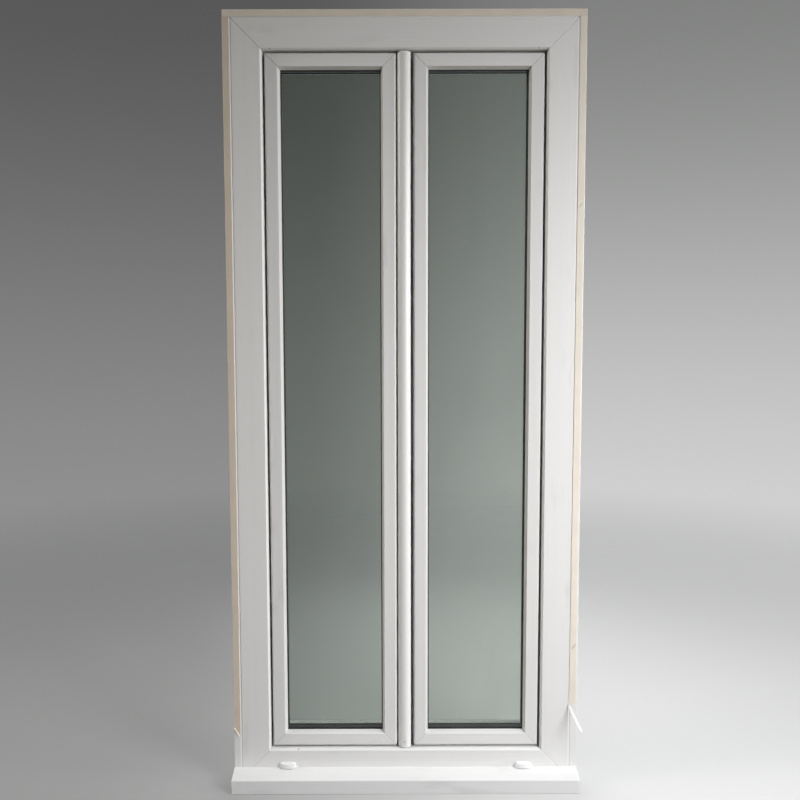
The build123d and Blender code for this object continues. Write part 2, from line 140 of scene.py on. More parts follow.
class WindowStage(bpy.types.PropertyGroup):
    """Floor, backdrop, lamps and camera"""

    floor: colour_property("Floor", "Pale studio floor as it is seen", (0.80, 0.80, 0.795))
    bounce: colour_property("Bounce", "Floor near the window, as it throws light", (0.20, 0.195, 0.195))
    bounce_far: colour_property("Far bounce", "Floor further out, as it throws light", (0.27, 0.215, 0.125))
    floor_radius: length_property("Floor radius", "Where the floor has faded out", 4.0)
    backdrop_low: colour_property("Backdrop low", "Backdrop near the floor", (0.66, 0.665, 0.66))
    backdrop_high: colour_property("Backdrop high", "Backdrop above the window", (0.20, 0.205, 0.20))
    backdrop_shade: FloatProperty(
        name="Backdrop shade", description="How much darker the backdrop is on the left", subtype="FACTOR",
        min=0.0, max=1.0, default=0.56,
    )
    overhead: colour_property("Overhead light", "Soft light from above", (0.55, 0.56, 0.60))
    key_power: power_property("Key power", "Softbox in front on the right", 15.0)
    key_colour: colour_property("Key colour", "Colour of the key softbox", (0.98, 0.985, 1.0))
    key_place: place_property("Key place", "Where the key softbox hangs", (1.48, -1.42, 1.22))
    key_aim: place_property("Key aim", "Point the key softbox faces", (0.28, 0.0, 0.30))
    side_power: power_property("Side power", "Softbox that grazes the window from the right", 18.5)
    side_colour: colour_property("Side colour", "Colour of the grazing softbox", (1.0, 0.975, 0.93))
    side_place: place_property("Side place", "Where the grazing softbox hangs", (4.40, -0.86, 1.70))
    side_aim: place_property("Side aim", "Point the grazing softbox faces", (0.0, 0.0, 0.95))
    fill_power: power_property("Fill power", "Softbox that grazes the window from the left", 18.0)
    fill_colour: colour_property("Fill colour", "Colour of the fill softbox", (1.0, 0.985, 0.87))
    fill_place: place_property("Fill place", "Where the fill softbox hangs", (-3.90, -0.78, 2.30))
    fill_aim: place_property("Fill aim", "Point the fill softbox faces", (0.15, 0.0, 0.45))
    back_power: power_property("Back power", "Softbox on the room side", 6.8)
    back_colour: colour_property("Back colour", "Colour of the room-side softbox", (1.0, 1.0, 1.0))
    back_place: place_property("Back place", "Where the room-side softbox hangs", (0.0, 1.90, 0.90))
    back_aim: place_property("Back aim", "Point the room-side softbox faces", (0.0, 0.0, 0.70))
    top_power: power_property("Top power", "Softbox above, behind the head", 6.0)
    top_colour: colour_property("Top colour", "Colour of the softbox above", (1.0, 1.0, 1.0))
    top_place: place_property("Top place", "Where the softbox above hangs", (0.10, 0.95, 2.70))
    top_aim: place_property("Top aim", "Point the softbox above faces", (0.0, 0.05, 1.30))
    softbox_size: length_property("Softbox size", "Side of a softbox", 0.9)
    softbox_spread: FloatProperty(
        name="Softbox spread", description="Opening angle of the softboxes' grids", subtype="ANGLE",
        unit="ROTATION", default=math.radians(100),
    )
    eye: place_property("Eye", "Where the camera stands", (-0.0272, -1.885, 0.98253))
    pitch: FloatProperty(
        name="Pitch", description="How far the camera looks down", subtype="ANGLE", unit="ROTATION",
        default=math.radians(4.837),
    )
    roll: FloatProperty(
        name="Roll", description="How far the camera leans", subtype="ANGLE", unit="ROTATION",
        default=-0.00233,
    )
    lens: FloatProperty(name="Lens", description="Focal length in millimetres", min=1.0, default=40.45)
    shift: FloatProperty(name="Shift", description="Sideways shift of the picture", default=0.01023)


class Value:
    """A shader socket that takes part in Python arithmetic."""

    def __init__(self, shader, socket):
        self.shader = shader
        self.socket = socket

    def math(self, operation, *operands):
        return self.shader.node("ShaderNodeMath", {"operation": operation}, dict(enumerate(operands)))

    def __add__(self, other):
        return self.math("ADD", self, other)

    __radd__ = __add__

    def __sub__(self, other):
        return self.math("SUBTRACT", self, other)

    def __rsub__(self, other):
        return self.math("SUBTRACT", other, self)

    def __mul__(self, other):
        return self.math("MULTIPLY", self, other)

    __rmul__ = __mul__

    def __truediv__(self, other):
        return self.math("DIVIDE", self, other)

    def __rtruediv__(self, other):
        return self.math("DIVIDE", other, self)

    def __abs__(self):
        return self.math("ABSOLUTE", self)

    def lowest(self, other):
        return self.math("MINIMUM", self, other)

    def highest(self, other):
        return self.math("MAXIMUM", self, other)

    def fraction(self):
        return self.math("FRACT", self)

    def ease(self, low, high):
        """Rise smoothly from 0 at low to 1 at high."""
        settings = {"interpolation_type": "SMOOTHSTEP"}
        sockets = {"Value": self, "From Min": low, "From Max": high}
        return self.shader.node("ShaderNodeMapRange", settings, sockets)


class Shader:
    """The node tree of one material or of the world."""

    def __init__(self, owner):
        owner.use_nodes = True
        self.tree = owner.node_tree
        self.tree.nodes.clear()

    def node(self, kind, settings, sockets, output=0):
        """Add a node, its settings first and then its sockets, and return one of its outputs."""
        made = self.tree.nodes.new(kind)
        for key, value in settings.items():
            setattr(made, key, value)
        for key, value in sockets.items():
            if isinstance(value, Value):
                self.tree.links.new(value.socket, made.inputs[key])
            else:
                made.inputs[key].default_value = value
        if made.outputs:
            return Value(self, made.outputs[output])

    def place(self):
        """Position in the shared frame."""
        return self.node("ShaderNodeTexCoord", {}, {}, "Object")

    def parts(self, vector, axes):
        """The numbers of a vector along the named axes."""
        return tuple(self.node("ShaderNodeSeparateXYZ", {}, {0: vector}, axis) for axis in axes)

    def stretch(self, vector, factors):
        return self.node("ShaderNodeVectorMath", {"operation": "MULTIPLY"}, {0: vector, 1: factors})

    def noise(self, vector, scale, detail=2.0):
        return self.node("ShaderNodeTexNoise", {}, {"Vector": vector, "Scale": scale, "Detail": detail})

    def mix(self, share, first, second):
        """Blend two colours by a number; inputs 6 and 7 and output 2 are the node's colours."""
        settings = {"data_type": "RGBA"}
        return self.node("ShaderNodeMix", settings, {0: share, 6: first, 7: second}, 2)

    def bump(self, height, distance, strength):
        sockets = {"Height": height, "Distance": distance, "Strength": strength}
        return self.node("ShaderNodeBump", {}, sockets)

    def seen_rays(self):
        """1 for rays that show the backdrop, straight, mirrored or through glass, and 0 for light."""
        kinds = ("Is Camera Ray", "Is Glossy Ray", "Is Transmission Ray")
        straight, mirrored, through = (self.node("ShaderNodeLightPath", {}, {}, kind) for kind in kinds)
        return straight.highest(mirrored).highest(through)

    def principled(self, sockets):
        return self.node("ShaderNodeBsdfPrincipled", {}, sockets)

    def show(self, surface):
        self.node("ShaderNodeOutputMaterial", {}, {"Surface": surface})


def solid(colour):
    """A colour with full alpha, as sockets take it."""
    return (*colour, 1.0)


def toned(colour, factor):
    """A darker or lighter tone of a colour."""
    return tuple(part * factor for part in colour)


def shaded(colour, factor):
    """A darker or lighter tone with full alpha."""
    return solid(toned(colour, factor))


def new_material(name):
    """An empty material and its node tree."""
    material = bpy.data.materials.new(name)
    return material, Shader(material)


def dress(material, *nodes):
    """Put a material on the objects of CAD nodes."""
    for node in nodes:
        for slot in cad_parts[node].material_slots:
            slot.material = material


def add_piece(name, mesh, material):
    """Turn a bmesh into a piece of the window that rides on its one body."""
    data = bpy.data.meshes.new(name)
    bmesh.ops.recalc_face_normals(mesh, faces=mesh.faces)
    mesh.to_mesh(data)
    mesh.free()
    data.shade_smooth()
    data.set_sharp_from_angle(angle=SHARP_EDGE)
    data.materials.append(material)
    piece = bpy.data.objects.new(name, data)
    bpy.context.collection.objects.link(piece)
    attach(piece, "root")
    return piece


def leaf_box(leaf):
    """A rectangle with its corners on a leaf's mitres: left, right, bottom, top."""
    low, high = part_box(f"{leaf}_outer_pane")
    return low.x, high.x, low.z, high.z


def frame_edges():
    """Outer edges of the frame: left, right, bottom, top."""
    low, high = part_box("frame_left_jamb")[0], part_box("frame_right_jamb")[1]
    return low.x, high.x, low.z, high.z


def extruded_pvc(name, colour, soil, along, edges=None, seam=0.0, dust_line=0.0, marks=()):
    """White extruded PVC: die lines along the bar, dark weld lines at its mitres that are partly dirt and
    partly painted shade of their grooves, dust and handling marks.

    Edges is a rectangle with its corners on the mitres, dust_line the inset of a line of dust from it,
    and marks are smudges.
    """
    material, shader = new_material(name)
    place = shader.place()
    x, z = shader.parts(place, "XZ")

    def drawn_out(share):
        """Position shortened along the bar, so that a pattern runs with it."""
        return shader.stretch(place, (1.0, 1.0, share) if along == "Z" else (share, 1.0, 1.0))

    along_bar = drawn_out(0.006)
    die_lines = shader.noise(along_bar, scale=750.0, detail=3.0)
    broad_lines = shader.noise(along_bar, scale=120.0)
    cloud = shader.noise(place, scale=7.0, detail=3.0)
    grain = shader.noise(place, scale=2600.0)
    wiped = shader.noise(drawn_out(0.25), scale=34.0, detail=4.0)
    rubbed = wiped.ease(0.57, 0.74) * cloud.ease(0.42, 0.62)
    dust = 0.16 * rubbed + 0.05 * cloud + 0.05 * broad_lines
    if edges:
        left, right, bottom, top = edges
        inward_x = (x - left).lowest(right - x)
        inward_z = (z - bottom).lowest(top - z)
        off_seam = abs(inward_x - inward_z)
        # The weld lines are darker towards the head
        weld_darkness = 0.62 * z.ease(-0.9, 1.3)
        weld = weld_darkness * (1 - off_seam.ease(seam * 0.2, seam * 0.7))
        if dust_line:
            off_line = abs(inward_x.lowest(inward_z) - dust_line)
            dust = dust.highest(0.07 * (1 - off_line.ease(0.0006, 0.0022)))
    for mark in marks:
        across = abs(x - mark.x) / mark.half_width
        upward = abs(z - mark.z) / mark.half_height
        reach = across * across + upward * upward
        dust = dust.highest(mark.strength * (1 - reach.ease(0.35, 1.0)))
    tone = shader.mix(broad_lines.ease(0.3, 0.7), shaded(colour, 0.985), shaded(colour, 1.012))
    tone = shader.mix(dust, tone, solid(soil))
    # Painted shade: the dark weld line is partly dirt in the weld and partly the shade of its groove
    if edges:
        tone = shader.mix(weld, tone, shaded(soil, 0.4))
    relief = 0.6 * die_lines + 0.25 * broad_lines + 0.15 * grain
    shader.show(shader.principled({
        "Base Color": tone,
        "Roughness": 0.30 + 0.10 * cloud + 0.16 * rubbed + 0.05 * die_lines,
        "Normal": shader.bump(relief, distance=0.00006, strength=0.35),
        "IOR": 1.53,
    }))
    return material


def moulded_plastic(name, colour, soil):
    """White injection-moulded plastic with a fine spark texture."""
    material, shader = new_material(name)
    place = shader.place()
    spark = shader.noise(place, scale=1500.0)
    cloud = shader.noise(place, scale=60.0, detail=3.0)
    tone = shader.mix(0.10 * cloud.ease(0.45, 0.75), solid(colour), solid(soil))
    shader.show(shader.principled({
        "Base Color": tone,
        "Roughness": 0.40 + 0.12 * cloud,
        "Normal": shader.bump(spark, distance=0.00005, strength=0.4),
        "IOR": 1.5,
    }))
    return material


def float_glass(name, tint):
    """One pane of float glass with a grey-green tone and faint wiping marks, open to lamps."""
    material, shader = new_material(name)
    place = shader.place()
    wipe = shader.noise(shader.stretch(place, (1.0, 1.0, 0.35)), scale=9.0, detail=4.0)
    film = wipe.ease(0.48, 0.75)
    tone = shader.mix(film, solid(tint), shaded(tint, 0.97))
    pane = shader.principled({
        "Base Color": tone,
        "Roughness": 0.004 + 0.012 * film,
        "IOR": 1.5,
        "Transmission Weight": 1.0,
    })
    open_pane = shader.node("ShaderNodeBsdfTransparent", {}, {"Color": solid(tint)})
    lamp_ray = shader.node("ShaderNodeLightPath", {}, {}, "Is Shadow Ray")
    shader.show(shader.node("ShaderNodeMixShader", {}, {0: lamp_ray, 1: pane, 2: open_pane}))
    return material


def spacer_aluminium(name, colour, middle, pitch):
    """Roll-formed aluminium with two rows of drying holes along the middle of the cavity."""
    material, shader = new_material(name)
    place = shader.place()
    x, y, z = shader.parts(place, "XYZ")
    row_from_middle, hole_floor, hole_rim = 0.0025, 0.00045, 0.0008
    along = ((x + z) / pitch).fraction() - 0.5
    off_row = abs(abs(y - middle) - row_from_middle)
    reach = along * along * pitch * pitch + off_row * off_row
    hole = 1 - reach.ease(hole_floor ** 2, hole_rim ** 2)
    rolled = shader.noise(shader.stretch(place, (0.05, 6.0, 0.05)), scale=260.0)
    tone = shader.mix(rolled, shaded(colour, 0.9), shaded(colour, 1.06))
    # Painted shade: the drying holes are drawn dark and not metallic, with only a bump for depth
    tone = shader.mix(hole, tone, shaded(colour, 0.06))
    shader.show(shader.principled({
        "Base Color": tone,
        "Metallic": 1 - hole,
        "Roughness": 0.34 + 0.18 * rolled,
        "Normal": shader.bump(rolled - hole, distance=0.00008, strength=0.4),
    }))
    return material


def black_rubber(name, colour):
    """Extruded rubber with a faint grey bloom."""
    material, shader = new_material(name)
    place = shader.place()
    bloom = shader.noise(place, scale=45.0, detail=4.0)
    grain = shader.noise(place, scale=1800.0)
    bloom_grey = (0.30, 0.29, 0.26)
    tone = shader.mix(0.10 * bloom.ease(0.5, 0.8), solid(colour), solid(bloom_grey))
    shader.show(shader.principled({
        "Base Color": tone,
        "Roughness": 0.50 + 0.2 * bloom,
        "Normal": shader.bump(grain, distance=0.00006, strength=0.5),
    }))
    return material


def paper_tape(name, colour, soil, knots=()):
    """Beige crepe paper: fine cross ripples, long tonal streaks and a few dark knots."""
    material, shader = new_material(name)
    place = shader.place()
    x, z = shader.parts(place, "XZ")
    fibre = shader.noise(place, scale=420.0, detail=4.0)
    crepe = shader.noise(place, scale=1300.0)
    streak = shader.noise(place, scale=26.0, detail=3.0)
    blush = shader.noise(place, scale=11.0)
    tone = shader.mix(streak.ease(0.3, 0.7), shaded(colour, 0.965), shaded(colour, 1.025))
    redder = [part * share for part, share in zip(colour, (0.98, 0.88, 0.84))]
    tone = shader.mix(0.14 * blush.ease(0.5, 0.75), tone, solid(redder))
    tone = shader.mix(0.09 * fibre.ease(0.55, 0.75), tone, solid(soil))
    for knot in knots:
        slope = 0.6 * (z - knot.z)
        across = abs(x - knot.x - slope) / knot.half_width
        upward = abs(z - knot.z) / knot.half_height
        reach = across * across + upward * upward + 0.5 * fibre - 0.25
        tone = shader.mix(knot.strength * (1 - reach.ease(0.3, 1.0)), tone, solid(soil))
    shader.show(shader.principled({
        "Base Color": tone,
        "Roughness": 0.72 + 0.16 * fibre,
        "Normal": shader.bump(0.6 * crepe + 0.4 * fibre, distance=0.00018, strength=0.5),
    }))
    return material


def backing_paper(name, colour):
    """Smooth siliconed paper with soft creases."""
    material, shader = new_material(name)
    place = shader.place()
    crease = shader.noise(place, scale=130.0, detail=3.0)
    tone = shader.mix(crease, shaded(colour, 0.96), shaded(colour, 1.02))
    shader.show(shader.principled({
        "Base Color": tone,
        "Roughness": 0.42 + 0.2 * crease,
        "Normal": shader.bump(crease, distance=0.0002, strength=0.4),
    }))
    return material


def powder_coat(name, colour, soil):
    """White powder coat with orange peel and light handling wear."""
    material, shader = new_material(name)
    place = shader.place()
    peel = shader.noise(place, scale=620.0)
    touch = shader.noise(place, scale=55.0, detail=3.0)
    tone = shader.mix(0.08 * touch.ease(0.5, 0.75), solid(colour), solid(soil))
    shader.show(shader.principled({
        "Base Color": tone,
        "Roughness": 0.28 + 0.14 * touch,
        "Normal": shader.bump(peel, distance=0.00008, strength=0.4),
    }))
    return material


def plated_steel(name, colour):
    """Zinc-plated steel, brushed and a little dull."""
    material, shader = new_material(name)
    place = shader.place()
    brush = shader.noise(shader.stretch(place, (1.0, 1.0, 0.1)), scale=1600.0)
    dull = shader.noise(place, scale=240.0, detail=3.0)
    shader.show(shader.principled({
        "Base Color": shader.mix(dull, shaded(colour, 0.8), shaded(colour, 1.1)),
        "Metallic": 1.0,
        "Roughness": 0.26 + 0.2 * dull,
        "Normal": shader.bump(brush, distance=0.00003, strength=0.4),
    }))
    return material


def ribbon(stations, thickness, columns=4):
    """A thin closed strip through (centre, across, outward, width) stations."""
    mesh = bmesh.new()
    rows = []
    for centre, across, outward, width in stations:
        middles = [centre + across * (width * (column / columns - 0.5)) for column in range(columns + 1)]
        outer = [mesh.verts.new(point + outward * thickness) for point in middles]
        inner = [mesh.verts.new(point) for point in middles]
        rows.append(outer + inner[::-1])
    for row, following in zip(rows, rows[1:]):
        for first in range(len(row)):
            second = (first + 1) % len(row)
            mesh.faces.new((row[first], row[second], following[second], following[first]))
    for row in (rows[0], rows[-1]):
        for first in range(columns):
            mesh.faces.new((row[first], row[first + 1], row[-2 - first], row[-1 - first]))
    return mesh


def turned(profile, steps, place, axis, mesh=None, recess=None):
    """Revolve (radius, height) points about an axis; recess lowers points inside a shape on the end."""
    mesh = mesh or bmesh.new()
    turn = Vector((0, 0, 1)).rotation_difference(axis).to_matrix()
    rings = []
    for radius, height in profile:
        ring = []
        for step in range(steps):
            angle = 2 * math.pi * step / steps
            point = Vector((radius * math.cos(angle), radius * math.sin(angle), height))
            if recess:
                point.z -= recess(point)
            ring.append(mesh.verts.new(place + turn @ point))
        rings.append(ring)
    for ring, following in zip(rings, rings[1:]):
        for step in range(steps):
            after = (step + 1) % steps
            mesh.faces.new((ring[step], ring[after], following[after], following[step]))
    mesh.faces.new(rings[-1])
    return mesh


class PVCWINDOW_OT_stage(bpy.types.Operator):
    """Add the floor, the backdrop, the lamps and the camera"""

    bl_idname = "pvc_window.stage"
    bl_label = "Stage"
    bl_options = {"REGISTER", "UNDO"}

    def execute(self, context):
        stage = context.scene.window_stage
        self.add_floor(context, stage)
        self.add_backdrop(context, stage)
        for name in ("key", "side", "fill", "back", "top"):
            self.add_softbox(context, stage, name)
        self.add_camera(context, stage)
        context.scene.view_settings.view_transform = "Standard"
        return {"FINISHED"}

    def add_floor(self, context, stage):
        """A pale disc that fades into the backdrop."""
        mesh = bmesh.new()
        bmesh.ops.create_circle(mesh, cap_ends=True, segments=96, radius=stage.floor_radius)
        data = bpy.data.meshes.new("floor")
        mesh.to_mesh(data)
        mesh.free()
        floor = bpy.data.objects.new("floor", data)
        gap_below_sill = 0.0006
        floor.location.z = CAD_BOX[0].z - gap_below_sill
        context.collection.objects.link(floor)
        material, shader = new_material("studio_floor")
        place = shader.place()
        x, y = shader.parts(place, "XY")
        grain = shader.noise(place, scale=30.0, detail=4.0)
        square = x * x + y * y
        far = square.ease((0.25 * stage.floor_radius) ** 2, (0.95 * stage.floor_radius) ** 2)
        seen = shader.seen_rays()
        tone = shader.mix(grain, shaded(stage.floor, 0.985), shaded(stage.floor, 1.01))
        shade = stage.backdrop_shade * (1 - x.ease(-0.7, 0.6))
        tone = shader.mix(0.95 * shade, tone, BLACK)
        # The floor is seen pale, and throws back less light than such a floor would
        bounce = shader.mix(square.ease(0.3, 2.0), solid(stage.bounce), solid(stage.bounce_far))
        tone = shader.mix(seen, bounce, tone)
        ground = shader.principled({"Base Color": tone, "Roughness": 0.85, "Specular IOR Level": 0.2})
        # The floor glows for seen rays in the backdrop's low colour, with painted shade on its left
        glow_colour = shader.mix(shade, solid(stage.backdrop_low), BLACK)
        glow = shader.node("ShaderNodeEmission", {}, {"Color": glow_colour, "Strength": 1.0})
        lit = shader.node("ShaderNodeMixShader", {}, {0: 0.5 * seen, 1: ground, 2: glow})
        faded = shader.node("ShaderNodeBsdfTransparent", {}, {})
        shader.show(shader.node("ShaderNodeMixShader", {}, {0: far, 1: lit, 2: faded}))
        data.materials.append(material)

    def add_backdrop(self, context, stage):
        """The backdrop that is seen, and the soft light from above."""
        world = bpy.data.worlds.new("soft_room")
        context.scene.world = world
        shader = Shader(world)
        direction = shader.node("ShaderNodeTexCoord", {}, {}, "Generated")
        side, height = shader.parts(direction, "XZ")
        backdrop = shader.mix(height.ease(-0.30, 0.40), solid(stage.backdrop_low), solid(stage.backdrop_high))
        shade = stage.backdrop_shade * (1 - side.ease(-0.12, 0.20))
        backdrop = shader.mix(shade, backdrop, BLACK)
        light = shader.mix(height.ease(0.45, 0.95), BLACK, solid(stage.overhead))
        colour = shader.mix(shader.seen_rays(), light, backdrop)
        background = shader.node("ShaderNodeBackground", {}, {"Color": colour, "Strength": 1.0})
        shader.node("ShaderNodeOutputWorld", {}, {"Surface": background})

    def all_but_panes(self):
        """Receivers of a lamp without the glass, so that no softbox stands mirrored in it."""
        receivers = bpy.data.collections.get("lamp_receivers")
        if receivers is None:
            receivers = bpy.data.collections.new("lamp_receivers")
            for leaf in LEAVES:
                for pane in ("outer_pane", "inner_pane"):
                    receivers.objects.link(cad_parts[f"{leaf}_{pane}"])
            for receiver in receivers.collection_objects:
                receiver.light_linking.link_state = "EXCLUDE"
        return receivers

    def add_softbox(self, context, stage, name):
        """One square lamp, which is felt but not seen."""
        place, aim = (Vector(getattr(stage, f"{name}_{point}")) for point in ("place", "aim"))
        data = bpy.data.lights.new(f"{name}_softbox", "AREA")
        data.energy = getattr(stage, f"{name}_power")
        data.color = getattr(stage, f"{name}_colour")
        data.size = stage.softbox_size
        data.spread = stage.softbox_spread
        lamp = bpy.data.objects.new(f"{name}_softbox", data)
        lamp.visible_camera = False
        lamp.visible_transmission = False
        # A lamp behind the window would draw a line of gloss along the tops of the panes
        lamp.visible_glossy = place.y < 0.0
        lamp.light_linking.receiver_collection = self.all_but_panes()
        lamp.location = place
        lamp.rotation_euler = (aim - place).to_track_quat("-Z", "Y").to_euler()
        context.collection.objects.link(lamp)

    def add_camera(self, context, stage):
        """The camera at the photograph's place."""
        data = bpy.data.cameras.new("camera")
        data.lens = stage.lens
        data.sensor_width = 36.0
        data.shift_x = stage.shift
        camera = bpy.data.objects.new("camera", data)
        tilt = Matrix.Rotation(math.pi / 2 - stage.pitch, 4, "X") @ Matrix.Rotation(stage.roll, 4, "Z")
        camera.matrix_world = Matrix.Translation(stage.eye) @ tilt
        context.collection.objects.link(camera)
        context.scene.camera = camera


class PVCWINDOW_OT_outer_frame(bpy.types.Operator):
    """Finish the outer frame, with its welds, dust line and marks"""

    bl_idname = "pvc_window.outer_frame"
    bl_label = "Outer Frame"
    bl_options = {"REGISTER", "UNDO"}

    def execute(self, context):
        finish = context.scene.window_finish
        detail = context.scene.window_detail
        edges = frame_edges()
        left, right, _, top = edges
        dimple_inset = 0.0165
        dimples = [
            Smudge(side + turn * dimple_inset, top - dimple_inset, 0.0017, 0.0017, 0.9)
            for side, turn in ((left, 1), (right, -1))
        ]
        head_marks = [
            Smudge(-0.271, top - 0.0755, 0.0032, 0.0012, 0.55),
            Smudge(0.269, top - 0.0755, 0.0030, 0.0012, 0.55),
            Smudge(0.046, top - 0.0205, 0.026, 0.0012, 0.12),
            Smudge(0.232, top - 0.0205, 0.026, 0.0012, 0.12),
        ]
        rail_marks = [Smudge(-0.2285, 0.0765, 0.0032, 0.0013, 0.6)]
        residue = [
            Smudge(right - 0.0150, 0.150, 0.0020, 0.030, 0.22),
            Smudge(right - 0.0085, 0.160, 0.0050, 0.018, 0.10),
        ]
        marks = {
            "frame_head": dimples + head_marks,
            "frame_bottom_rail": rail_marks,
            "frame_left_jamb": dimples,
            "frame_right_jamb": dimples + residue,
        }
        for node, spots in marks.items():
            along = "X" if node in FRAME_RAILS else "Z"
            material = extruded_pvc(
                f"{node}_pvc", finish.pvc, finish.soil, along, edges,
                seam=detail.seam_width, dust_line=detail.dust_line, marks=spots,
            )
            dress(material, node)
        return {"FINISHED"}


class PVCWINDOW_OT_sashes(bpy.types.Operator):
    """Finish both leaves and their glazing beads"""

    bl_idname = "pvc_window.sashes"
    bl_label = "Sashes"
    bl_options = {"REGISTER", "UNDO"}

    def execute(self, context):
        finish = context.scene.window_finish
        seam = context.scene.window_detail.seam_width
        for leaf in LEAVES:
            for along, members, beads in (
                ("Z", ("hinge_stile", "meeting_stile"), ("left", "right")),
                ("X", ("top_rail", "bottom_rail"), ("top", "bottom")),
            ):
                name = f"{leaf}_sash_pvc_{along}"
                material = extruded_pvc(name, finish.pvc, finish.soil, along, leaf_box(leaf), seam)
                dress(material, *(f"{leaf}_sash_{member}" for member in members))
                dress(material, *(f"{leaf}_bead_{bead}" for bead in beads))
        return {"FINISHED"}


class PVCWINDOW_OT_astragal(bpy.types.Operator):
    """Finish the half-round astragal and its caps, and add the plug near its foot"""

    bl_idname = "pvc_window.astragal"
    bl_label = "Astragal"
    bl_options = {"REGISTER", "UNDO"}

    def execute(self, context):
        finish = context.scene.window_finish
        detail = context.scene.window_detail
        dress(extruded_pvc("astragal_pvc", finish.pvc, finish.soil, "Z"), "astragal")
        caps = moulded_plastic("astragal_cap_plastic", finish.moulded, finish.soil)
        dress(caps, "astragal_top_cap", "astragal_bottom_cap")
        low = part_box("astragal")[0]
        plug_x, plug_height = -0.0013, 0.010
        place = Vector((plug_x, low.y, low.z + plug_height))
        radius = detail.plug_width / 2
        rings = ((1.0, -0.0008), (1.0, 0.0002), (0.86, 0.0005), (0.7, 0.0003), (0.2, 0.0002))
        profile = [(radius * share, height) for share, height in rings]
        plug = turned(profile, detail.round_steps, place, OUTSIDE)
        grey = moulded_plastic("plug_plastic", toned(finish.moulded, 0.7), finish.soil)
        add_piece("astragal_fixing_plug", plug, grey)
        return {"FINISHED"}


class PVCWINDOW_OT_sill(bpy.types.Operator):
    """Finish the sill, its end caps and the drain caps above it"""

    bl_idname = "pvc_window.sill"
    bl_label = "Sill"
    bl_options = {"REGISTER", "UNDO"}

    def execute(self, context):
        finish = context.scene.window_finish
        dress(extruded_pvc("sill_pvc", finish.sill, finish.soil, "X"), "sill")
        caps = moulded_plastic("cap_plastic", finish.moulded, finish.soil)
        dress(caps, "sill_left_end_cap", "sill_right_end_cap", "left_drain_cap", "right_drain_cap")
        return {"FINISHED"}


class PVCWINDOW_OT_glazing(bpy.types.Operator):
    """Finish the glass units, gaskets and seals"""

    bl_idname = "pvc_window.glazing"
    bl_label = "Glazing"
    bl_options = {"REGISTER", "UNDO"}

    def execute(self, context):
        finish = context.scene.window_finish
        detail = context.scene.window_detail
        glass = float_glass("float_glass", finish.glass)
        low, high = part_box("left_spacer_bar")
        middle = (low.y + high.y) / 2
        spacer = spacer_aluminium("spacer_aluminium", finish.spacer, middle, detail.perforation_pitch)
        rubber = black_rubber("black_rubber", finish.rubber)
        for leaf in LEAVES:
            dress(glass, f"{leaf}_outer_pane", f"{leaf}_inner_pane")
            dress(spacer, f"{leaf}_spacer_bar")
            dress(rubber, f"{leaf}_glazing_gaskets", f"{leaf}_sash_seal")
        return {"FINISHED"}


